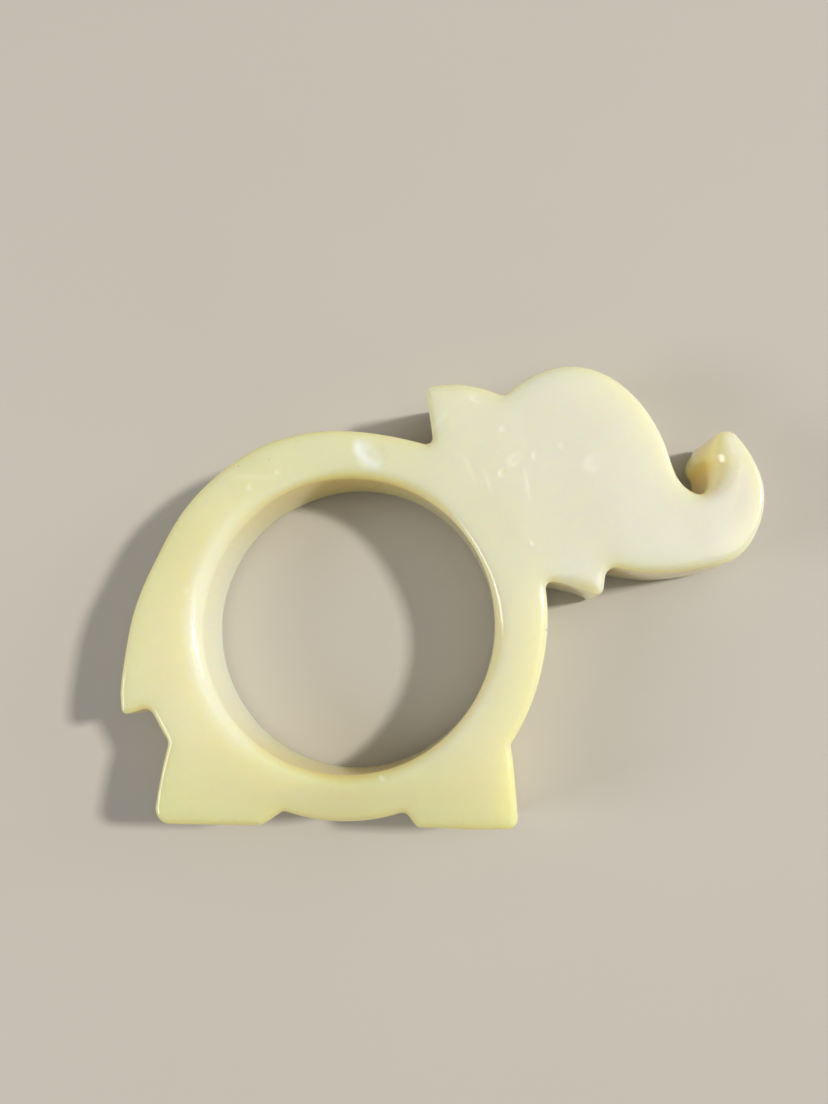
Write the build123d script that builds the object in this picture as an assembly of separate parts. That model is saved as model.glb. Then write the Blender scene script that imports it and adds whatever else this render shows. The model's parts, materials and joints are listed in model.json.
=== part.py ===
"""Napkin ring in the shape of a standing elephant, cut from one slab of cast phenolic.

The ring lies flat: +Z runs along the bore, +X points to the trunk and +Y to the top of
the head. The origin is the middle of the bore, at half the thickness of the slab.
All sizes are millimetres.
"""

import os

from build123d import *

# Slab and ring
thickness = 9.5  # three-eighths of an inch slab, a little less once polished
bore_radius = 15.875  # inch and a quarter bore for the rolled napkin
chest_radius = 21.4  # outside of the ring along the chest
belly_radius = 20.45  # outside of the ring under the belly
chest_end = -32.5  # angle from +X at which the chest meets the waist, in degrees

# Roundings left by tumbling
edge_round = 0.6  # where the flat sides meet the walls
heel_corner = 1.7  # back of the rear foot, the most worn corner
soft_corner = 1.1  # toe, trunk throat and tail root
crisp_corner = 0.65  # ear tip, tail tip, lip and the steps beside the belly

# Heights below the bore's axis
sole = -21.0
knee_height = -12.5  # narrowest place of both legs

# Corners of the outline, clockwise from the tail
tail_tip = (-24.25, -9.8)
tail_back = (-24.55, -7.4)
ear_root = (9.55, 19.1)
ear_tip = (8.6, 25.75)
ear_notch = (17.25, 24.45)
curl_inside = (39.0, 17.2)
tip_inside = (39.35, 18.9)
trunk_tip = (40.45, 19.95)
tip_outside = (41.6, 19.3)
trunk_throat = (27.6, 5.85)
lip_tip = (27.1, 2.4)
lip_root = (21.2, 4.2)
knee_front = (17.35, knee_height)
toe_front = (18.05, sole)
toe_back = (7.6, sole)
belly_front = (6.4, -19.42)
belly_rear = (-6.3, -19.45)
rear_toe = (-8.6, sole)
heel = (-20.45, sole)
knee_rear = (-18.95, knee_height)
tail_root = (-21.2, -8.95)

# Points that the curves between those corners pass through
rump_and_back = ((-23.75, -0.5), (-20.7, 8.2), (-13.9, 17.0), (-3.6, 21.15), (4.8, 20.35))
ear_top_middle = (12.6, 25.9)
crown_of_head = ((20.2, 26.6), (24.4, 27.55), (28.8, 26.1))
forehead_and_curl = ((32.45, 22.15), (34.5, 17.2), (36.2, 13.85), (37.7, 13.3), (38.8, 14.4))
trunk_front = ((43.2, 16.6), (43.95, 12.9), (43.1, 9.35))
trunk_below = ((40.7, 6.35), (37.3, 5.3), (32.6, 4.95))
lip_below_middle = (24.4, 3.6)
shin_middle = (17.75, -16.6)
hock_middle = (-19.6, -15.8)
thigh_middle = (-20.1, -10.8)


def back_and_ear():
    """The rump and back in one sweep, then the pointed ear that stands up from it."""
    back = Spline(tail_back, *rump_and_back, ear_root)
    ear_back = Line(ear_root, ear_tip)
    ear_top = ThreePointArc(ear_tip, ear_top_middle, ear_notch)
    return [back, ear_back, ear_top]


def head_and_trunk():
    """The domed head, the hook of the raised trunk and its lower edge to the throat."""
    forehead = Spline(ear_notch, *crown_of_head, *forehead_and_curl, curl_inside)
    curl_wall = Line(curl_inside, tip_inside)
    tip = ThreePointArc(tip_inside, trunk_tip, tip_outside)
    trunk_outside = Spline(tip_outside, *trunk_front, *trunk_below, trunk_throat)
    return [forehead, curl_wall, tip, trunk_outside]


def lip_and_chest():
    """The small lower lip, the chest, which follows the ring, and the slope below it."""
    lip_front = Line(trunk_throat, lip_tip)
    lip_below = ThreePointArc(lip_tip, lip_below_middle, lip_root)
    chest_middle = (chest_radius, 0)
    chest_foot = Vector(chest_radius, 0).rotate(Axis.Z, chest_end)
    chest = ThreePointArc(lip_root, chest_middle, chest_foot)
    waist = Line(chest_foot, knee_front)
    return [lip_front, lip_below, chest, waist]


def legs_and_belly():
    """Front leg, belly and rear leg, with both soles on one line."""
    shin = ThreePointArc(knee_front, shin_middle, toe_front)
    front_sole = Line(toe_front, toe_back)
    front_step = Line(toe_back, belly_front)
    belly = ThreePointArc(belly_front, (0, -belly_radius), belly_rear)
    rear_step = Line(belly_rear, rear_toe)
    rear_sole = Line(rear_toe, heel)
    hock = ThreePointArc(heel, hock_middle, knee_rear)
    return [shin, front_sole, front_step, belly, rear_step, rear_sole, hock]


def thigh_and_tail():
    """The thigh's slope up to the tail, and the short pointed tail."""
    thigh = ThreePointArc(knee_rear, thigh_middle, tail_root)
    tail_below = Line(tail_root, tail_tip)
    tail_end = Line(tail_tip, tail_back)
    return [thigh, tail_below, tail_end]


def rounded(face, corners, radius):
    """The face with each of its named corners rounded in plan."""
    picked = [face.vertices().sort_by_distance(corner)[0] for corner in corners]
    return fillet(picked, radius)


def silhouette():
    """The elephant's outline as a face, its corners eased by the polishing."""
    edges = back_and_ear() + head_and_trunk() + lip_and_chest()
    edges += legs_and_belly() + thigh_and_tail()
    face = Sketch() + make_face(Wire(edges))
    face = rounded(face, [heel], heel_corner)
    face = rounded(face, [toe_front, trunk_throat, tail_root], soft_corner)
    face = rounded(face, [ear_tip, tail_tip, lip_tip, ear_notch], crisp_corner)
    face = rounded(face, [ear_root, lip_root, toe_back, rear_toe], crisp_corner)
    return rounded(face, [belly_front, belly_rear, knee_rear], crisp_corner)


def elephant_ring():
    """The slab cut to the outline and bored, with the rims of both sides round."""
    slab = extrude(silhouette(), amount=thickness / 2, both=True)
    ring = slab - Cylinder(bore_radius, 2 * thickness)
    edges_by_height = ring.edges().group_by(Axis.Z)
    rims = edges_by_height[0] + edges_by_height[-1]
    return fillet(rims, edge_round)


os.makedirs("parts", exist_ok=True)
ring = elephant_ring()
ring.label = "elephant_ring"
export_step(ring, "parts/elephant_ring.step")
print("elephant_ring", ring.bounding_box())
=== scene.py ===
"""Builds the looks of a cast resin napkin ring, an elephant sawn from one slab.

The solid model gives the outline and the bore. This add-on carries a rounded edge along
both of them, fills the two sides with a fine skin, works the hand finish into it and gives
it a cloudy cast resin. A pale floor, soft studio lights and a camera make up the stage.
"""

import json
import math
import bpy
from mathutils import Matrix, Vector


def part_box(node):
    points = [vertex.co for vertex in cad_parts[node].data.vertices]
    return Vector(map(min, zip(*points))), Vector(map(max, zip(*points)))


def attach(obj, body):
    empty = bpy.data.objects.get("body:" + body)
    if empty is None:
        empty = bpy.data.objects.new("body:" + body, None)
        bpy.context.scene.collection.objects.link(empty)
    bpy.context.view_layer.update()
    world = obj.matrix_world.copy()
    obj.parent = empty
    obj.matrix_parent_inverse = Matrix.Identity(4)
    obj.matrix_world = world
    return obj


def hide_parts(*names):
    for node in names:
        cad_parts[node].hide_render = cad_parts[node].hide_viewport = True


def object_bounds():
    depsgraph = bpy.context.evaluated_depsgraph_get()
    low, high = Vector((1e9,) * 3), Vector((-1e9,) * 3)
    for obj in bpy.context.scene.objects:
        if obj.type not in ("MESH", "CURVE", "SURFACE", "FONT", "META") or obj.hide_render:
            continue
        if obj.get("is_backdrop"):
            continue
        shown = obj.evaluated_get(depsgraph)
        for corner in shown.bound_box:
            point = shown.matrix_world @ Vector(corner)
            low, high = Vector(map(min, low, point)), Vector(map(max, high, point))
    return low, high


bl_info = {
    "name": "Elephant napkin ring",
    "version": (1, 0, 0),
    "blender": (4, 5, 0),
    "location": "3D Viewport > Sidebar > Napkin Ring",
    "description": "Builds a polished cast resin napkin ring and its studio stage",
    "category": "Object",
}

import bmesh
import bpy
import numpy as np
from bpy.props import FloatProperty, FloatVectorProperty, IntProperty, PointerProperty
from bpy.types import Operator, Panel, PropertyGroup
from mathutils import Matrix, Vector
from mathutils.geometry import delaunay_2d_cdt

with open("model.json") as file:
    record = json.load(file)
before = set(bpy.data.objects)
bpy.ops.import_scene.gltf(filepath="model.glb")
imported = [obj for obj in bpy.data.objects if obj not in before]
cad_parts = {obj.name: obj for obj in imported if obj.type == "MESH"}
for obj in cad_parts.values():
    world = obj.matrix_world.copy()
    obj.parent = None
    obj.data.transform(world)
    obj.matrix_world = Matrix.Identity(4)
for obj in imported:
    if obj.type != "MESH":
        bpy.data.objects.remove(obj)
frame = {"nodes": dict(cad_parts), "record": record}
CAD_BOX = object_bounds()

NODE = "elephant_ring"
MM = 0.001
LOW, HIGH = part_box(NODE)
HALF_THICKNESS = (HIGH.z - LOW.z) / 2 / MM
BORE_RADIUS = frame["record"]["mounts"][0]["dims"]["r_mm"]


# ---------------------------------------------------------------- sizes and colours


class RingSizes(PropertyGroup):
    """Sizes of the polished skin, in millimetres."""

    skin_pitch: FloatProperty(
        name="Skin pitch", description="Spacing of the points on the flat sides",
        default=0.42, subtype="DISTANCE_CAMERA",
    )
    mark_pitch: FloatProperty(
        name="Mark pitch", description="Spacing of the points in the small marks",
        default=0.15, subtype="DISTANCE_CAMERA",
    )
    edge_pitch: FloatProperty(
        name="Edge pitch", description="Spacing of the points along the outline",
        default=0.2, subtype="DISTANCE_CAMERA",
    )
    wall_levels: IntProperty(
        name="Wall levels", description="Rows of points down each wall", default=15
    )
    edge_round: FloatProperty(
        name="Edge rounding", description="Usual radius of the outline's tumbled edges",
        default=0.68, subtype="DISTANCE_CAMERA",
    )
    bore_round: FloatProperty(
        name="Bore rounding", description="Radius of the two rims of the bore",
        default=1.1, subtype="DISTANCE_CAMERA",
    )
    shoulder: FloatProperty(
        name="Shoulder", description="Fall of the flat sides just before the rounded edge",
        default=0.045, subtype="DISTANCE_CAMERA",
    )
    shoulder_reach: FloatProperty(
        name="Shoulder reach", description="How far in from the edge the shoulder begins",
        default=1.6, subtype="DISTANCE_CAMERA",
    )
    crown: FloatProperty(
        name="Side crown", description="Slower fall of the flat sides towards their edges",
        default=0.03, subtype="DISTANCE_CAMERA",
    )
    crown_reach: FloatProperty(
        name="Crown reach", description="How far in from the edge the crown begins to fall",
        default=4.5, subtype="DISTANCE_CAMERA",
    )
    swell: FloatProperty(
        name="Side swell", description="Slow waves that hand polishing leaves on the sides",
        default=0.03, subtype="DISTANCE_CAMERA",
    )
    wall_crown: FloatProperty(
        name="Wall crown", description="How much fuller a wall is at half height than at its edges",
        default=0.06, subtype="DISTANCE_CAMERA",
    )
    wall_swell: FloatProperty(
        name="Wall swell", description="Slow waves that hand polishing leaves on the walls",
        default=0.02, subtype="DISTANCE_CAMERA",
    )
    curl_lean: FloatProperty(
        name="Curl lean", description="How far the wall in the trunk's curl leans out half way down",
        default=1.0, subtype="DISTANCE_CAMERA",
    )
    ear_lift: FloatProperty(
        name="Ear lift", description="How far the worn ear flap stands proud",
        default=0.03, subtype="DISTANCE_CAMERA",
    )
    seam_depth: FloatProperty(
        name="Ear seam", description="Depth of the worn line round the ear flap",
        default=0.012, subtype="DISTANCE_CAMERA",
    )


class ResinColours(PropertyGroup):
    """Colours of the cast resin, as linear values; several of them are painted light and shade."""

    cream: FloatVectorProperty(
        name="Cream", description="Colour of the flat sides", subtype="COLOR",
        default=(0.85, 0.81, 0.57),
    )
    # Butter also makes painted light through the resin along every edge and painted shade on the
    # feet.
    butter: FloatVectorProperty(
        name="Butter", description="Yellower clouds, and the feet", subtype="COLOR",
        default=(0.73, 0.71, 0.37),
    )
    # Painted light: a sheen towards the trunk, the lit side of the bore and light through the lip.
    painted_light_milk: FloatVectorProperty(
        name="Milk", description="Paler resin of the trunk and the bore", subtype="COLOR",
        default=(0.81, 0.80, 0.71),
    )
    # Painted shade: the amber of edges and walls out of the light, and of the belly.
    painted_shade_honey: FloatVectorProperty(
        name="Honey", description="Deep colour of edges and walls", subtype="COLOR",
        default=(0.80, 0.64, 0.14),
    )
    # Painted shade: the duller belly and outer bend of the trunk.
    dull_shade_grey: FloatVectorProperty(
        name="Smoke", description="Duller look of the thinnest places", subtype="COLOR",
        default=(0.45, 0.44, 0.40),
    )
    # Partly scuffed resin, partly a painted highlight in the marks.
    chalk_and_highlight: FloatVectorProperty(
        name="Chalk", description="Bruised resin in the marks", subtype="COLOR",
        default=(0.95, 0.92, 0.78),
    )
    speck: FloatVectorProperty(
        name="Speck", description="Grit caught in the casting", subtype="COLOR",
        default=(0.25, 0.17, 0.05),
    )


class StageSettings(PropertyGroup):
    """Camera and lights, measured from the middle of the bore."""

    camera_at: FloatVectorProperty(
        name="Camera", description="Place of the camera", subtype="TRANSLATION", unit="LENGTH",
        default=(0.01572, -0.004405, 0.091523), precision=5,
    )
    camera_turn: FloatVectorProperty(
        name="Camera turn", description="Turn of the camera from straight down",
        subtype="EULER", unit="ROTATION",
        default=[math.radians(turn) for turn in (7.72, 5.457, -0.152)],
    )
    lens: FloatProperty(
        name="Lens", description="Focal length of the camera", default=27.05,
        subtype="DISTANCE_CAMERA",
    )
    key_power: FloatProperty(
        name="Window", description="Power of the high window light", default=67.0,
        subtype="POWER",
    )
    low_power: FloatProperty(
        name="Low window", description="Power of the low light under the window", default=1.3,
        subtype="POWER",
    )
    fill_power: FloatProperty(
        name="Far window", description="Power of the light across from the window", default=2.1,
        subtype="POWER",
    )
    top_power: FloatProperty(
        name="Overhead", description="Power of the discs overhead, all together", default=1.3,
        subtype="POWER",
    )
    surround: FloatProperty(
        name="Surround", description="Strength of the room's even light", default=0.27,
        subtype="FACTOR",
    )


# ---------------------------------------------------------------- lines in the plane


def closed_section(node):
    """Closed lines in which the middle plane cuts a node, as point rows, longest first."""
    mesh = bmesh.new()
    mesh.from_mesh(node.data)
    bmesh.ops.remove_doubles(mesh, verts=mesh.verts, dist=1e-7)
    everything = mesh.verts[:] + mesh.edges[:] + mesh.faces[:]
    cut = bmesh.ops.bisect_plane(
        mesh, geom=everything, plane_co=(0, 0, 0), plane_no=(0, 0, 1), dist=1e-8
    )
    links = {}
    for item in cut["geom_cut"]:
        if isinstance(item, bmesh.types.BMEdge):
            first, last = item.verts
            links.setdefault(first, []).append(last)
            links.setdefault(last, []).append(first)
    lines = []
    while links:
        start = next(iter(links))
        walk, before, here = [], None, start
        while here in links:
            walk.append(here.co.xy[:])
            ahead = [point for point in links.pop(here) if point is not before]
            before, here = here, ahead[0]
        lines.append(np.array(walk) / MM)
    mesh.free()
    return sorted(lines, key=lambda line: -line_length(line))


def line_length(line):
    """Length round a closed line."""
    return np.linalg.norm(np.roll(line, -1, axis=0) - line, axis=1).sum()


def length_so_far(line):
    """Length along an open line up to each of its points."""
    return np.r_[0, np.cumsum(np.linalg.norm(np.diff(line, axis=0), axis=1))]


def point_at(line, run, at):
    """Points of a line at given lengths along it, between its own points in proportion."""
    return np.c_[np.interp(at, run, line[:, 0]), np.interp(at, run, line[:, 1])]


def even_steps(line, pitch):
    """The same closed line with points at even steps of about the given pitch."""
    closed = np.vstack([line, line[:1]])
    run = length_so_far(closed)
    count = round(run[-1] / pitch)
    return point_at(closed, run, np.arange(count) * run[-1] / count)


def eased(line, spread):
    """The closed line with each point averaged over its neighbours, by a Gaussian whose
    width is given in points. The average is taken on the line's Fourier series."""
    waves = np.fft.fftfreq(len(line))[:, None] * 2 * np.pi
    series = np.fft.fft(line, axis=0) * np.exp(-((waves * spread) ** 2) / 2)
    return np.fft.ifft(series, axis=0).real


def with_solid_on_left(line, is_bore):
    """The line turned so that the resin lies on its left."""
    ahead = np.roll(line, -1, axis=0)
    twice_area = (line[:, 0] * ahead[:, 1] - line[:, 1] * ahead[:, 0]).sum()
    return line[::-1] if (twice_area > 0) == is_bore else line


def outward(line):
    """Unit normals that point out of the resin, from the chord between each point's
    neighbours turned a quarter turn clockwise."""
    chord = np.roll(line, -1, axis=0) - np.roll(line, 1, axis=0)
    chord /= np.linalg.norm(chord, axis=1)[:, None]
    return np.c_[chord[:, 1], -chord[:, 0]]


def batches(points):
    """Rows of the points in batches of about 2000, to keep tables of distances small."""
    return np.array_split(np.arange(len(points)), 1 + len(points) // 2000)


def inside(points, lines):
    """True where a ray from the point crosses the lines an odd number of times."""
    odd = np.zeros(len(points), bool)
    for line in lines:
        ahead = np.roll(line, -1, axis=0)
        level = ahead[:, 1] == line[:, 1]
        rise = np.where(level, 1.0, ahead[:, 1] - line[:, 1])
        for part in batches(points):
            x, y = points[part, 0][:, None], points[part, 1][:, None]
            spans = (line[:, 1] > y) != (ahead[:, 1] > y)
            cross = line[:, 0] + (y - line[:, 1]) * (ahead[:, 0] - line[:, 0]) / rise
            odd[part] ^= ((spans & (x < cross)).sum(axis=1) % 2).astype(bool)
    return odd


def nearest_row(points, line):
    """For each point, the row of the line's nearest point."""
    row = np.zeros(len(points), int)
    for part in batches(points):
        gap = points[part][:, None, :] - line[None, :, :]
        row[part] = (gap**2).sum(axis=2).argmin(axis=1)
    return row


def nearest(points, line, normals, pitch):
    """For each point, its distance to the line and the row of the line's nearest point.
    Beside a stretch of the line the distance is taken along the normal, and past a corner
    whole."""
    row = nearest_row(points, line)
    gap = points - line[row]
    whole = np.linalg.norm(gap, axis=1)
    along_normal = np.abs((gap * normals[row]).sum(axis=1))
    beside = np.sqrt(np.maximum(whole**2 - along_normal**2, 0)) < 0.75 * pitch
    return np.where(beside, along_normal, whole), row


def soft_step(value):
    """0 below 0 and 1 above 1, with a smooth rise between."""
    value = np.clip(value, 0, 1)
    return value * value * (3 - 2 * value)


def spot(points, middle, reach):
    """1 in the middle of a spot, fading as a Gaussian of the given reach."""
    return np.exp(-((points - middle) ** 2).sum(axis=1) / reach**2)


def slow_waves(points, wavelength, seed, count=9):
    """A smooth uneven surface, mostly between -1 and 1: the sum of plane waves in seeded
    directions over the square root of their number. Their lengths lie round the given
    wavelength."""
    rng = np.random.default_rng(seed)
    turn = rng.uniform(0, 2 * np.pi, count)
    size = 2 * np.pi / (wavelength * rng.uniform(0.7, 1.5, count))
    start = rng.uniform(0, 2 * np.pi, count)
    along = np.outer(points[:, 0], np.cos(turn)) + np.outer(points[:, 1], np.sin(turn))
    return np.sin(along * size + start).sum(axis=1) / np.sqrt(count)


# ---------------------------------------------------------------- marks in the sides

# The worn line round the ear flap, from the ear's root down to its tip and up to the notch.
EAR_SEAM = (
    (8.4, 20.1), (11.4, 18.7), (13.2, 17.0), (14.6, 14.9), (16.0, 12.6), (17.4, 9.9),
    (18.6, 7.7), (19.5, 9.4), (19.9, 12.8), (19.8, 16.2), (19.3, 19.4), (18.5, 22.0),
    (17.0, 25.4),
)
# Three corners outside the ear that close the seam to a flap.
BEYOND_EAR = ((17.0, 30.0), (4.0, 30.0), (4.0, 20.1))
SEAM_WIDTH = 0.28
FLAP_STEP = 0.9  # width of the soft step from the head up to the flap

# Shallow scoops in the sides: middle, long and short half width, turn in degrees, depth.
SCOOPS = (
    ((2.9, 18.3), 2.0, 1.3, -38, 0.24),
    ((26.6, 16.7), 1.2, 0.9, 32, 0.03),
    ((18.4, 17.2), 1.1, 0.7, 30, 0.04),
    ((16.9, 15.8), 0.5, 0.35, 60, 0.05),
    ((-10.4, 14.9), 0.5, 0.4, 30, 0.05),
    ((-7.3, 16.5), 0.4, 0.3, 0, 0.05),
    ((17.2, 20.6), 0.5, 0.4, 0, 0.04),
    ((20.4, 17.6), 0.35, 0.5, 0, 0.04),
    ((20.1, 8.2), 0.4, 0.35, 0, 0.05),
    ((-17.1, 3.7), 0.35, 0.3, 0, 0.05),
    ((4.1, -15.9), 0.35, 0.3, 0, 0.08),
    ((23.3, 18.6), 0.4, 0.35, 0, 0.03),
    ((14.5, 24.0), 1.1, 0.5, -15, 0.04),
)
# Faint strokes, most of them beside the ear: both ends and depth.
STROKES = (
    ((12.8, 17.9), (14.2, 14.8), 0.05),
    ((14.9, 16.4), (15.9, 13.6), 0.05),
    ((19.4, 16.3), (19.9, 12.9), 0.05),
    ((11.2, 22.9), (9.6, 20.9), 0.03),
    ((-12.6, 16.1), (-7.8, 15.9), 0.03),
)
STROKE_WIDTH = 0.22
BRUISE_AND_GLINT_WIDTH = 0.3  # of the chalky line along a stroke, partly scuffed resin and partly a painted glint
HIGHLIGHT_SIDE = (-0.87, -0.5)  # direction in which a scoop's chalky crescent, a painted highlight, lies
SEEN_DEPTH = 0.001  # marks deeper than this get the finer grid


def ear_relief(points, lift, depth):
    """Height of the ear flap: a soft step up across the seam, with the seam itself as a
    narrow furrow that polishing has broken into strokes."""
    corners = np.array(EAR_SEAM)
    run = length_so_far(corners)
    seam = point_at(corners, run, np.linspace(0, run[-1], 240))
    weights = np.exp(-np.linspace(-2, 2, 25) ** 2)
    weights /= weights.sum()
    padded = np.pad(seam, ((12, 12), (0, 0)), mode="edge")
    seam = np.column_stack([np.convolve(column, weights, "valid") for column in padded.T])
    away = np.linalg.norm(points - seam[nearest_row(points, seam)], axis=1)
    side = np.where(inside(points, [np.vstack([seam, BEYOND_EAR])]), away, -away)
    worn = 0.55 + 0.45 * slow_waves(points, 3.5, 11)
    furrow = np.exp(-((away / SEAM_WIDTH) ** 2)) * np.clip(worn, 0, 1)
    lumps = 0.5 * slow_waves(points, 2.6, 12) + 0.5 * slow_waves(points, 1.5, 13)
    return soft_step(side / FLAP_STEP + 0.5) * lift * (1 + 0.4 * lumps) - depth * furrow


def scoop_reach(points, mark):
    """Squared distance from a scoop's middle, as a share of its half widths along its own
    two axes, so that it is 1 on the scoop's uneven oval rim."""
    middle, long_half, short_half, turn, _ = mark
    turn = math.radians(turn)
    x, y = (points - middle).T
    u = (x * math.cos(turn) + y * math.sin(turn)) / long_half
    v = (y * math.cos(turn) - x * math.sin(turn)) / short_half
    return (u * u + v * v) * (1 + 0.14 * slow_waves(points, 2.2, 71))


def stroke_share(points, mark, width):
    """1 along the middle of a stroke, fading to its ends as half a sine wave and to its
    sides as a Gaussian of the given width."""
    first, last = np.array(mark[0]), np.array(mark[1])
    reach = last - first
    along = np.clip((points - first) @ reach / (reach @ reach), 0, 1)
    away = np.linalg.norm(points - first - along[:, None] * reach, axis=1)
    return np.exp(-((away / width) ** 2)) * np.sin(np.pi * (0.1 + 0.8 * along))


def scooped(points):
    """Height of the scoops and strokes. A scoop is a shallow bowl with a flat bottom and a
    low rim just outside it, and a stroke is a furrow with Gaussian sides."""
    height = np.zeros(len(points))
    for mark in SCOOPS:
        far = scoop_reach(points, mark)
        rim = 0.12 * np.exp(-8 * (np.sqrt(far) - 1.3) ** 2)
        height -= mark[-1] * (np.exp(-1.6 * far**2) - rim)
    for mark in STROKES:
        height -= mark[-1] * stroke_share(points, mark, STROKE_WIDTH)
    return height


def bruises_and_highlights(points):
    """Share of chalky colour in the marks: scuffed resin over the floor of each scoop, a painted
    highlight in a crescent just inside one side of its rim, and along the strokes a line that is
    partly scuffed resin and partly a painted glint. A deeper scoop is chalkier."""
    share = np.zeros(len(points))
    for mark in SCOOPS:
        far = scoop_reach(points, mark)
        gap = points - mark[0]
        aside = (gap @ HIGHLIGHT_SIDE) / (np.linalg.norm(gap, axis=1) + 1e-6)
        ring = np.exp(-(((np.sqrt(far) - 0.72) / 0.34) ** 2))
        strength = min(1, 0.3 + 3 * mark[-1])
        # Painted highlight: the crescent lies on the side of the scoop whose slope faces the light.
        crescent = 0.9 * ring * soft_step(0.55 + 0.6 * aside)
        share += strength * (0.35 * np.exp(-1.2 * far**2) + crescent)
    # Along the strokes, partly scuffed resin and partly a painted glint.
    for mark in STROKES:
        share += 0.3 * stroke_share(points, mark, BRUISE_AND_GLINT_WIDTH)
    return share


# ---------------------------------------------------------------- the ring's skin

CURL_MIDDLE = (38.7, 16.9)  # hollow of the trunk's curl
LIP_MIDDLE = (24.4, 3.4)  # lower lip
BEND_MIDDLE = (42.5, 14.0)  # outer bend of the trunk
# Spots where the edge is worn round: middle, reach and extra radius.
WORN_SPOTS = (
    ((38.6, 16.0), 2.6, 1.9),
    (LIP_MIDDLE, 2.5, 0.6),
    ((-16.5, -2.0), 5.0, 0.3),
)
# How far round the tumbled edge each row of points lies, as turns of an arc in degrees. Past
# a quarter turn the rows lie on the flat.
EDGE_TURNS = (18, 34, 50, 66, 82, 100, 125)
LINE_EASE = 0.7  # points over which the outline's facets are averaged
WALL_BLEND = 1.4  # how early over the rounded edge the wall's own shape sets in

# How the colours lie. Lengths are millimetres.
PAINTED_SHADE_WIDTH = 1.3  # band of painted shade along an outside edge
BAND_WIDTH = 2.6  # band of butter, painted light through the resin, along every edge
BORE_PAINTED_SHADE = 0.18  # share of painted shade at the bore's two sides; above and below it is whole
FEET_FROM, FEET_OVER = -10, 12  # height where the painted shade of the feet starts, and how slowly
SHEEN_FROM, SHEEN_OVER = -12, 60  # the same for the painted sheen, along a slant from the rump to the trunk
BELLY_FROM, BELLY_OVER = -15, 3  # the same for the painted shade of the belly
BELLY_WIDTH = 9  # of the Gaussian across it


def edge_radius(points, sizes):
    """Radius of the tumbled edge as a smooth field over the plane: it eases from the bore's
    radius to the outline's within a few millimetres of the bore, with slow waves, plus a
    Gaussian bump at each heavily worn spot."""
    beyond = soft_step((np.linalg.norm(points, axis=1) - BORE_RADIUS - 1.0) / 3.0)
    radius = sizes.bore_round + (sizes.edge_round - sizes.bore_round) * beyond
    radius *= 1 + 0.2 * slow_waves(points, 12.0, 21)
    for middle, reach, extra in WORN_SPOTS:
        radius += extra * spot(points, middle, reach)
    return radius


def staggered(low, high, pitch):
    """Points of a triangular grid between two corners: every second row is moved half a
    pitch along, and the rows are the height of an even triangle apart."""
    across = np.arange(low[0], high[0], pitch)
    up = np.arange(low[1], high[1], pitch * math.sqrt(3) / 2)
    grid_x, grid_y = np.meshgrid(across, up)
    grid_x[::2] += pitch / 2
    return np.c_[grid_x.ravel(), grid_y.ravel()]


def loops(lines):
    """For each closed line, the rows of its points when the lines are joined in one array."""
    first = 0
    for line in lines:
        yield first + np.arange(len(line))
        first += len(line)


def flat_side(lines, rounds, sizes):
    """Points and triangles of one flat side: the outlines, rows of points over the rounded
    edge and just past it, and a staggered grid inside, finer in the marks, joined by a
    constrained Delaunay triangulation."""
    outline = np.vstack(lines)
    normals = np.vstack([outward(line) for line in lines])
    step = line_length(lines[0]) / len(lines[0])
    arc = 1 - np.cos(np.radians(EDGE_TURNS))
    inset = np.outer(arc, rounds)
    rows = (outline - normals * inset[:, :, None]).reshape(-1, 2)
    true_inset, _ = nearest(rows, outline, normals, step)
    rows = rows[(true_inset > 0.97 * inset.ravel()) & inside(rows, lines)]
    low, high = outline.min(axis=0), outline.max(axis=0)
    coarse = staggered(low, high, sizes.skin_pitch)
    fine = staggered(low, high, sizes.mark_pitch)
    grid = np.vstack([
        coarse[np.abs(scooped(coarse)) < SEEN_DEPTH], fine[np.abs(scooped(fine)) >= SEEN_DEPTH]
    ])
    grid = grid[inside(grid, lines)]
    away, row = nearest(grid, outline, normals, step)
    grid = grid[away > rounds[row] * arc[-1] + 0.35 * sizes.skin_pitch]
    points = np.vstack([outline, rows, grid])
    edges = np.vstack([np.c_[here, np.roll(here, -1)] for here in loops(lines)])
    made = delaunay_2d_cdt([Vector(point) for point in points], edges.tolist(), [], 1, 1e-7)
    if len(made[0]) != len(points):
        raise RuntimeError("the triangulation changed the number of points")
    faces = np.array(made[2])
    return points, faces[inside(points[faces].mean(axis=1), lines)]


def side_heights(side, away, radius, sizes):
    """Heights of the points on the upper and on the lower side. Half the thickness falls by
    the quarter circle of the rounded edge, the square of the nearness over the shoulder and
    its cube over the crown. The marks, which fade at the edge, and slow waves are added."""
    near = np.clip(1 - away / radius, 0, 1)
    drop = radius * (1 - np.sqrt(1 - near**2))
    drop += sizes.crown * np.clip(1 - away / sizes.crown_reach, 0, 1) ** 3
    drop += sizes.shoulder * np.clip(1 - away / sizes.shoulder_reach, 0, 1) ** 2
    marks = ear_relief(side, sizes.ear_lift, sizes.seam_depth) + scooped(side)
    marks *= soft_step(away / (1.6 * radius))
    heights = []
    for sign, seed in ((1, 31), (-1, 61)):
        waves = slow_waves(side, 11.0, seed) + 0.35 * slow_waves(side, 4.5, seed + 1)
        heights.append(sign * (HALF_THICKNESS - drop + marks + sizes.swell * (waves - 1)))
    return heights


def wall_points(lines, outline, rounds, levels):
    """Points at even levels down each wall between its two rounded edges, and the row of
    the outline that each one stands on."""
    share = np.linspace(1, -1, levels)[1:-1]
    rows = np.concatenate([np.tile(here, len(share)) for here in loops(lines)])
    part = np.concatenate([np.repeat(share, len(line)) for line in lines])
    return np.c_[outline[rows], part * (HALF_THICKNESS - rounds[rows])], rows


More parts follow.
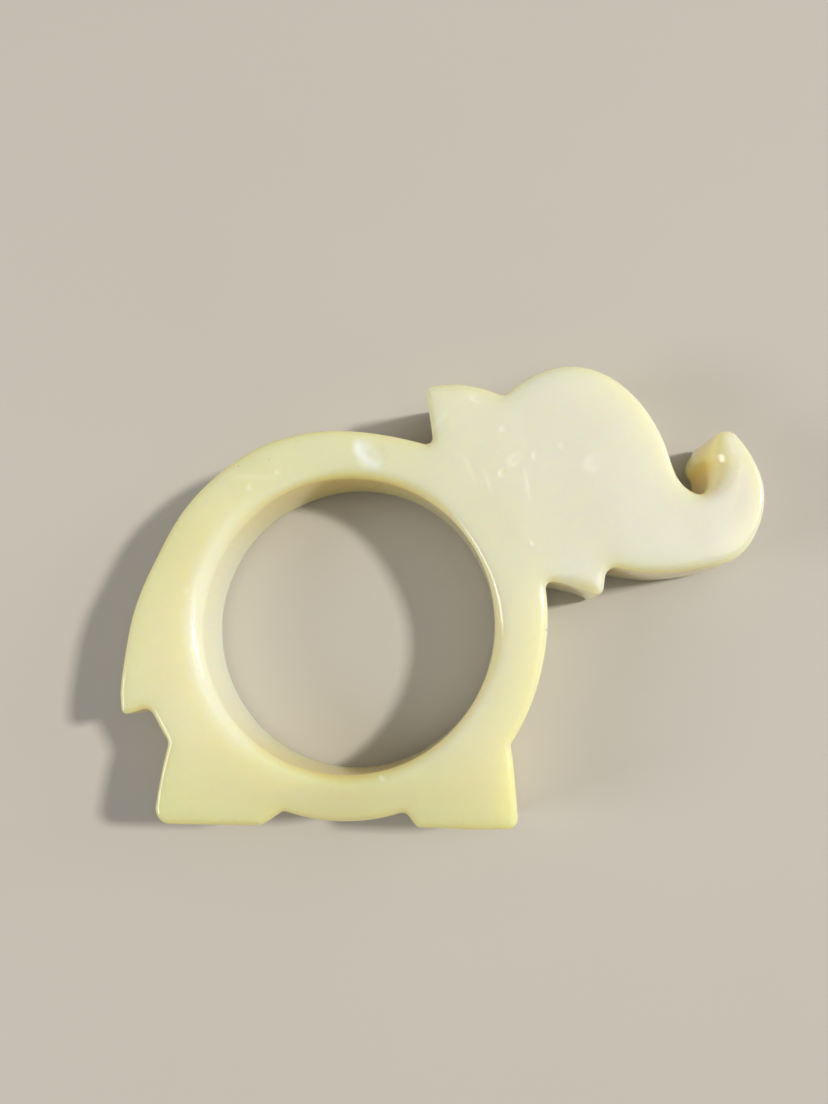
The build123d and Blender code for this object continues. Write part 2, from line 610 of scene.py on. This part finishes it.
def wall_quads(lines, levels, first_lower, first_wall):
    """Quads down the walls. A wall's rows run from the outline of the upper side over its
    own levels to the outline of the lower side."""
    quads = []
    for here in loops(lines):
        own = first_wall + np.arange((levels - 2) * len(here)).reshape(-1, len(here))
        rows = np.vstack([here, own, first_lower + here])
        ahead = np.roll(rows, -1, axis=1)
        quads.append(np.dstack([rows[:-1], rows[1:], ahead[1:], ahead[:-1]]).reshape(-1, 4))
        first_wall += own.size
    return np.vstack(quads)


def wall_push(points, row, curl, is_bore, sizes):
    """How far each place on a wall moves out along the outline's normal: a crown that falls
    with the square of the height, slow waves over the length round and the height, and a
    lean in the curl that grows towards the lower side. The bore takes about a third of it,
    and outside the crown is taken back, so that a wall hardly stands past the solid."""
    level = points[:, 2] / HALF_THICKNESS
    waves = slow_waves(np.c_[row * sizes.edge_pitch, points[:, 2]], 7.0, 41)
    push = sizes.wall_swell * waves + sizes.wall_crown * (1 - level**2)
    push += sizes.curl_lean * curl * (1 - 0.9 * level)
    return np.where(is_bore, 0.35 * push, push - sizes.wall_crown)


def colour_shares(points, facing, away, near, curl, is_bore):
    """Shares by which the resin's colours are mixed; most of them are painted light and shade.

    rim, for honey: painted shade, the amber of edges and walls out of the light. Outside, a
    band that fades to the power 1.3 from each edge, weaker at the lip and, except in the
    curl, towards the trunk and where the edge faces sideways; in the bore, more towards its
    top and bottom and less on its lit left side; and painted shade on the belly.
    glow, for butter: painted light through the resin in a broad band along every edge, and
    painted shade on the feet.
    pale, for milk: painted light, a sheen that grows along a slant from the rump to the
    trunk, with a little less in the curl, and more at the lip and in the bore, most of all
    on the rump's side.
    thin, for smoke: painted shade on the belly and the outer bend of the trunk.
    bruise, for chalk: the marks, partly scuffed resin and partly a painted highlight.
    """
    x, y = points.T
    across = x / BORE_RADIUS
    upright = (np.abs(y) / np.hypot(x, y)) ** np.where(y > 0, 3, 5)
    slant = x + 0.6 * y
    lip = spot(points, LIP_MIDDLE, 3.0)
    bend = spot(points, BEND_MIDDLE, 5.0) * (1 - curl)
    belly = np.exp(-(((x - 0.5) / BELLY_WIDTH) ** 2)) * soft_step((BELLY_FROM - y) / BELLY_OVER)
    band = soft_step(1 - away / BAND_WIDTH)

    # Painted shade in the bore: deepest above and below, least on its lit left side.
    bore_painted_shade = BORE_PAINTED_SHADE + 0.17 * across + (1 - BORE_PAINTED_SHADE) * upright
    painted_shade_honey = np.clip(1 - away / PAINTED_SHADE_WIDTH, 0, 1) ** 1.3 * (1 - 0.8 * lip)
    # Outside the curl the painted shade is weaker towards the trunk and where an edge faces
    # sideways, towards the lights.
    sideways = 1 - facing[:, 1] ** 2
    painted_shade_honey *= 1 - (1 - curl) * (0.25 * soft_step(slant / 40) + 0.6 * sideways)
    # Painted light on the bore's lit walls, most on the rump's side.
    bore_painted_light = is_bore * band * (1 - upright) * (0.75 - 0.45 * across)
    # Painted sheen along the slant to the trunk, and painted light at the lip.
    painted_light_milk = soft_step((slant - SHEEN_FROM) / SHEEN_OVER) + 0.45 * lip - 0.15 * curl
    shares = {
        "rim": np.where(is_bore, bore_painted_shade * near**2, painted_shade_honey) + 0.35 * belly,
        # Painted light through the resin along every edge, and painted shade on the feet.
        "painted_glow_and_shade": 0.2 * band + 0.6 * soft_step((FEET_FROM - y) / FEET_OVER),
        "pale": painted_light_milk + bore_painted_light,
        # Painted shade on the belly and the trunk's outer bend.
        "painted_dull_shade": 0.28 * belly + 0.33 * bend,
        # Scuffed resin and painted highlights in the marks.
        "bruise_and_highlight": bruises_and_highlights(points),
    }
    return {name: np.clip(share, 0, 1) for name, share in shares.items()}


def ring_skin(sizes):
    """Places of all points, triangles of the upper and the lower side, quads of the walls,
    and the shares for the colours. The points are those of the upper side, of the lower
    side and of the walls, and the two sides have the same plan."""
    section = closed_section(frame["nodes"][NODE])
    lines = [
        with_solid_on_left(eased(even_steps(line, sizes.edge_pitch), LINE_EASE), is_bore)
        for is_bore, line in enumerate(section)
    ]
    outline = np.vstack(lines)
    normals = np.vstack([outward(line) for line in lines])
    rounds = edge_radius(outline, sizes)
    side, triangles = flat_side(lines, rounds, sizes)
    away, row = nearest(side, outline, normals, sizes.edge_pitch)
    away[: len(outline)] = 0
    radius = edge_radius(side, sizes)
    upper, lower = side_heights(side, away, radius, sizes)
    walls, wall_rows = wall_points(lines, outline, rounds, sizes.wall_levels)

    points = np.vstack([np.c_[side, upper], np.c_[side, lower], walls])
    row = np.concatenate([row, row, wall_rows])
    away = np.concatenate([away, away, np.zeros(len(walls))])
    near = np.clip(1 - away / np.concatenate([radius, radius, rounds[wall_rows]]), 0, 1)
    facing = normals[row]
    is_bore = row >= len(lines[0])
    curl = spot(outline[row], CURL_MIDDLE, 3.0) * soft_step(-facing[:, 0] * 1.4)
    push = wall_push(points, row, curl, is_bore, sizes)
    points[:, :2] += facing * (push * soft_step(near * WALL_BLEND))[:, None]

    shares = colour_shares(points[:, :2], facing, away, near, curl, is_bore)
    quads = wall_quads(lines, sizes.wall_levels, len(side), 2 * len(side))
    return points * MM, triangles, triangles[:, ::-1] + len(side), quads, shares


def add_share(mesh, name, values):
    """Stores one number per point on the mesh, for a material to read."""
    share = mesh.attributes.new(name, "FLOAT", "POINT")
    share.data.foreach_set("value", values.astype(np.float32))


def link_piece(name, mesh, material):
    """Puts a finished mesh in the scene with its material and smooth faces."""
    mesh.materials.append(material)
    mesh.polygons.foreach_set("use_smooth", np.ones(len(mesh.polygons), bool))
    piece = bpy.data.objects.new(name, mesh)
    bpy.context.scene.collection.objects.link(piece)
    return piece


# ---------------------------------------------------------------- materials


def node(tree, kind, at, **settings):
    """A new shader node, with its settings as keywords."""
    made = tree.nodes.new(kind)
    made.location = at
    for key, value in settings.items():
        setattr(made, key, value)
    return made


def start_group(name, inputs, outputs):
    """A new node group with number sockets: its tree, its input node and its output node."""
    tree = bpy.data.node_groups.new(name, "ShaderNodeTree")
    for label, default in inputs:
        socket = tree.interface.new_socket(label, in_out="INPUT", socket_type="NodeSocketFloat")
        socket.default_value = default
    for label in outputs:
        tree.interface.new_socket(label, in_out="OUTPUT", socket_type="NodeSocketFloat")
    return tree, node(tree, "NodeGroupInput", (-900, 0)), node(tree, "NodeGroupOutput", (600, 0))


def noise(tree, vector, at, **settings):
    """A noise texture that reads the given coordinates, with its inputs set by keyword."""
    made = node(tree, "ShaderNodeTexNoise", at)
    for label, value in settings.items():
        made.inputs[label].default_value = value
    tree.links.new(vector, made.inputs["Vector"])
    return made


def maths(tree, operation, values, at, **settings):
    """A Math node's result. Each of its values is a socket or a number."""
    made = node(tree, "ShaderNodeMath", at, operation=operation, **settings)
    for socket, value in zip(made.inputs, values):
        if isinstance(value, bpy.types.NodeSocket):
            tree.links.new(value, socket)
        else:
            socket.default_value = value
    return made.outputs[0]


def cloud_group():
    """Node group that gives soft clouds as values round one half."""
    name = "Soft clouds"
    if name in bpy.data.node_groups:
        return bpy.data.node_groups[name]
    inputs = (("Cloud size", 10.0), ("Swirl", 0.6), ("Contrast", 1.0))
    tree, put_in, put_out = start_group(name, inputs, ("Clouds",))
    place = node(tree, "ShaderNodeTexCoord", (-900, 300)).outputs["Object"]
    per_metre = maths(tree, "DIVIDE", (1000, put_in.outputs["Cloud size"]), (-700, 0))
    clouds = noise(tree, place, (-500, 100), Detail=3, Roughness=0.45)
    tree.links.new(per_metre, clouds.inputs["Scale"])
    tree.links.new(put_in.outputs["Swirl"], clouds.inputs["Distortion"])
    centred = maths(tree, "SUBTRACT", (clouds.outputs["Fac"], 0.5), (-200, 100))
    values = (centred, put_in.outputs["Contrast"], 0.5)
    spread = maths(tree, "MULTIPLY_ADD", values, (100, 100), use_clamp=True)
    tree.links.new(spread, put_out.inputs["Clouds"])
    return tree


def polish_group():
    """Node group for a hand polish: a roughness that wanders between two values, and the
    height of hair-fine scratches in two directions over a soft unevenness."""
    name = "Hand polish"
    if name in bpy.data.node_groups:
        return bpy.data.node_groups[name]
    inputs = (("Smoothest", 0.12), ("Roughest", 0.3), ("Scratches", 0.3))
    tree, put_in, put_out = start_group(name, inputs, ("Roughness", "Height"))
    place = node(tree, "ShaderNodeTexCoord", (-900, 300)).outputs["Object"]
    haze = noise(tree, place, (-500, 300), Scale=260, Detail=5)
    between = node(tree, "ShaderNodeMapRange", (300, 250))
    between.inputs["From Min"].default_value = 0.32
    between.inputs["From Max"].default_value = 0.7
    tree.links.new(haze.outputs["Fac"], between.inputs["Value"])
    tree.links.new(put_in.outputs["Smoothest"], between.inputs["To Min"])
    tree.links.new(put_in.outputs["Roughest"], between.inputs["To Max"])
    tree.links.new(between.outputs["Result"], put_out.inputs["Roughness"])
    height = noise(tree, place, (-200, -500), Scale=700).outputs["Fac"]
    for turn, stretch in ((25, 18), (-50, 30)):
        along = node(tree, "ShaderNodeMapping", (-700, -10 * turn))
        along.inputs["Rotation"].default_value = (0, 0, math.radians(turn))
        along.inputs["Scale"].default_value = (1, stretch, 1)
        tree.links.new(place, along.inputs["Vector"])
        fine = noise(tree, along.outputs["Vector"], (-450, -10 * turn), Scale=330, Detail=2)
        values = (fine.outputs["Fac"], put_in.outputs["Scratches"])
        scratch = maths(tree, "MULTIPLY", values, (-200, -10 * turn))
        height = maths(tree, "ADD", (height, scratch), (100, -10 * turn))
    tree.links.new(height, put_out.inputs["Height"])
    return tree


def place_group(tree, group, at, **values):
    """The group as a node of a material, with its inputs set by keyword."""
    placed = node(tree, "ShaderNodeGroup", at, node_tree=group)
    for label, value in values.items():
        placed.inputs[label.replace("_", " ")].default_value = value
    return placed


def blended(tree, first, second, share, at):
    """A mix of two colours. Each is a socket or a plain colour, and share is a socket."""
    mix = node(tree, "ShaderNodeMix", at, data_type="RGBA")
    for socket, value in ((mix.inputs["A"], first), (mix.inputs["B"], second)):
        if isinstance(value, bpy.types.NodeSocket):
            tree.links.new(value, socket)
        else:
            socket.default_value = (*value, 1)
    tree.links.new(share, mix.inputs["Factor"])
    return mix.outputs["Result"]


def cast_resin(colours):
    """Cloudy cream resin. Each further colour is mixed in by a share that the ring's mesh holds,
    most of them painted light and shade; then come specks of grit, and a hand polish lies over it
    all."""
    material = bpy.data.materials.new("Cast resin")
    material.use_nodes = True
    tree = material.node_tree
    shader = tree.nodes["Principled BSDF"]
    clouds = place_group(
        tree, cloud_group(), (-1900, 300), Cloud_size=13.0, Swirl=0.5, Contrast=1.0
    )
    colour = blended(tree, colours.cream, colours.butter, clouds.outputs["Clouds"], (-1650, 300))
    # Of the layers below, the first is painted light, the second painted light along the edges and
    # painted shade on the feet, the third and fourth painted shade, and the last partly a painted
    # highlight over scuffed resin.
    layers = (
        ("pale", colours.painted_light_milk, 0.8),
        ("painted_glow_and_shade", colours.butter, 1.0),
        ("rim", colours.painted_shade_honey, 0.6),
        ("painted_dull_shade", colours.dull_shade_grey, 1.0),
        ("bruise_and_highlight", colours.chalk_and_highlight, 1.0),
    )
    for step, (name, layer, most) in enumerate(layers):
        across = -1450 + 200 * step
        share = node(tree, "ShaderNodeAttribute", (across, -100), attribute_name=name)
        share = maths(tree, "MULTIPLY", (share.outputs["Fac"], most), (across, 100))
        colour = blended(tree, colour, layer, share, (across, 300))

    grit = node(tree, "ShaderNodeTexVoronoi", (-1000, 600))
    grit.inputs["Scale"].default_value = 190
    place = node(tree, "ShaderNodeTexCoord", (-1300, 600))
    tree.links.new(place.outputs["Object"], grit.inputs["Vector"])
    dot = node(tree, "ShaderNodeMapRange", (-750, 600))
    for label, value in (("From Min", 0.012), ("From Max", 0.03), ("To Min", 0.6), ("To Max", 0)):
        dot.inputs[label].default_value = value
    tree.links.new(grit.outputs["Distance"], dot.inputs["Value"])
    colour = blended(tree, colour, colours.speck, dot.outputs["Result"], (-400, 300))
    tree.links.new(colour, shader.inputs["Base Color"])

    polish = place_group(
        tree, polish_group(), (-700, -300), Smoothest=0.11, Roughest=0.21, Scratches=0.3
    )
    tree.links.new(polish.outputs["Roughness"], shader.inputs["Roughness"])
    bump = node(tree, "ShaderNodeBump", (-300, -300))
    bump.inputs["Strength"].default_value = 0.05
    bump.inputs["Distance"].default_value = 0.00002
    tree.links.new(polish.outputs["Height"], bump.inputs["Height"])
    tree.links.new(bump.outputs["Normal"], shader.inputs["Normal"])
    for label, value in (
        ("IOR", 1.6),
        ("Coat Weight", 0.35),
        ("Coat Roughness", 0.08),
        ("Subsurface Weight", 1.0),
        ("Subsurface Radius", (1.0, 0.7, 0.22)),
        ("Subsurface Scale", 0.008),
    ):
        shader.inputs[label].default_value = value
    return material


def pale_floor():
    """Matt off-white paper with the faintest clouds."""
    material = bpy.data.materials.new("Pale floor")
    material.use_nodes = True
    tree = material.node_tree
    shader = tree.nodes["Principled BSDF"]
    clouds = place_group(
        tree, cloud_group(), (-600, 100), Cloud_size=60.0, Swirl=0.3, Contrast=0.8
    )
    darker, lighter = (0.53, 0.49, 0.43), (0.57, 0.53, 0.47)
    colour = blended(tree, darker, lighter, clouds.outputs["Clouds"], (-300, 100))
    tree.links.new(colour, shader.inputs["Base Color"])
    shader.inputs["Roughness"].default_value = 0.75
    return material


# ---------------------------------------------------------------- operators

FLOOR_REACH = 2.0  # half the floor's width, in metres
# Tints of the lights.
ROOM = (1.0, 0.97, 0.93)
SUNNY = (1.0, 0.97, 0.90)
NORTHERN = (0.93, 0.96, 1.0)
LOW_SKY = (0.74, 0.87, 1.0)
HIGH_SKY = (0.86, 0.93, 1.0)
# Places and widths of the lights, in metres.
WINDOW = ((2.20, 0.39, 1.93), 0.26)
LOW_WINDOW = ((0.81, 0.25, 0.30), 0.32)
FAR_WINDOW = ((-0.69, -0.14, 0.38), 0.34)
OVERHEAD_AT = (0.44, 0.14, 1.02)
OVERHEAD_WIDTHS = (0.3, 0.6, 0.95)


class NAPKIN_OT_ring(Operator):
    """Build the polished ring round the solid model's outline and bore"""

    bl_idname = "napkin.ring"
    bl_label = "Elephant ring"

    def execute(self, context):
        points, upper, lower, quads, shares = ring_skin(context.scene.ring_sizes)
        mesh = bpy.data.meshes.new("polished_ring")
        mesh.from_pydata(points, [], upper.tolist() + lower.tolist() + quads.tolist())
        for name, values in shares.items():
            add_share(mesh, name, values)
        mesh.validate()
        piece = link_piece("polished_ring", mesh, cast_resin(context.scene.resin_colours))
        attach(piece, "root")
        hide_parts(NODE)
        return {"FINISHED"}


class NAPKIN_OT_stage(Operator):
    """Lay the pale floor, hang the soft lights and set the camera"""

    bl_idname = "napkin.stage"
    bl_label = "Stage"

    def execute(self, context):
        settings = context.scene.stage_settings
        self.floor()
        self.lights(context, settings)
        self.camera(context, settings)
        context.scene.view_settings.view_transform = "Standard"
        return {"FINISHED"}

    def floor(self):
        """A wide sheet under the ring's lowest point."""
        corners = [(-1, -1, 0), (1, -1, 0), (1, 1, 0), (-1, 1, 0)]
        mesh = bpy.data.meshes.new("floor")
        mesh.from_pydata(corners, [], [(0, 1, 2, 3)])
        mesh.transform(Matrix.Scale(FLOOR_REACH, 4))
        mesh.transform(Matrix.Translation((0, 0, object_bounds()[0].z)))
        link_piece("floor", mesh, pale_floor())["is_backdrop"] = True

    def lights(self, context, settings):
        """A high window on the right with the sky low under it, a dimmer window across from
        them, and three discs overhead of growing size, whose sum has a soft border."""
        world = bpy.data.worlds.new("Room")
        world.use_nodes = True
        background = world.node_tree.nodes["Background"]
        background.inputs["Color"].default_value = (*ROOM, 1)
        background.inputs["Strength"].default_value = settings.surround
        context.scene.world = world
        self.panel("window", *WINDOW, settings.key_power, SUNNY)
        self.panel("low_window", *LOW_WINDOW, settings.low_power, LOW_SKY)
        self.panel("far_window", *FAR_WINDOW, settings.fill_power, NORTHERN)
        for width in OVERHEAD_WIDTHS:
            power = settings.top_power / len(OVERHEAD_WIDTHS)
            self.panel("overhead", OVERHEAD_AT, width, power, HIGH_SKY, "DISK")

    def panel(self, name, at, width, power, tint, shape="SQUARE"):
        """A soft light that faces the ring."""
        lamp = bpy.data.lights.new(name, "AREA")
        lamp.shape = shape
        lamp.size = width
        lamp.energy = power
        lamp.color = tint
        light = bpy.data.objects.new(name, lamp)
        light.location = at
        aim = Vector(at) - (CAD_BOX[0] + CAD_BOX[1]) / 2
        light.rotation_euler = aim.to_track_quat("Z", "Y").to_euler()
        bpy.context.scene.collection.objects.link(light)

    def camera(self, context, settings):
        """A short lens almost straight above the chest."""
        data = bpy.data.cameras.new("camera")
        data.lens = settings.lens
        data.clip_start = 0.005
        camera = bpy.data.objects.new("camera", data)
        camera.location = settings.camera_at
        camera.rotation_euler = settings.camera_turn
        context.scene.collection.objects.link(camera)
        context.scene.camera = camera


class NAPKIN_PT_panel(Panel):
    """Lists the sizes and the steps that build the ring."""

    bl_idname = "NAPKIN_PT_panel"
    bl_label = "Napkin Ring"
    bl_space_type = "VIEW_3D"
    bl_region_type = "UI"
    bl_category = "Napkin Ring"

    def draw(self, context):
        scene = context.scene
        for group in (scene.ring_sizes, scene.resin_colours, scene.stage_settings):
            box = self.layout.box()
            for name in group.__annotations__:
                box.prop(group, name)
        for operator in OPERATORS:
            self.layout.operator(operator.bl_idname)


OPERATORS = (NAPKIN_OT_ring, NAPKIN_OT_stage)
GROUPS = (RingSizes, ResinColours, StageSettings)
CLASSES = GROUPS + OPERATORS + (NAPKIN_PT_panel,)


def register():
    for made in CLASSES:
        bpy.utils.register_class(made)
    bpy.types.Scene.ring_sizes = PointerProperty(type=RingSizes)
    bpy.types.Scene.resin_colours = PointerProperty(type=ResinColours)
    bpy.types.Scene.stage_settings = PointerProperty(type=StageSettings)


def unregister():
    del bpy.types.Scene.stage_settings
    del bpy.types.Scene.resin_colours
    del bpy.types.Scene.ring_sizes
    for made in reversed(CLASSES):
        bpy.utils.unregister_class(made)


def main():
    register()
    bpy.ops.napkin.ring()
    bpy.ops.napkin.stage()


if __name__ == "__main__":
    main()
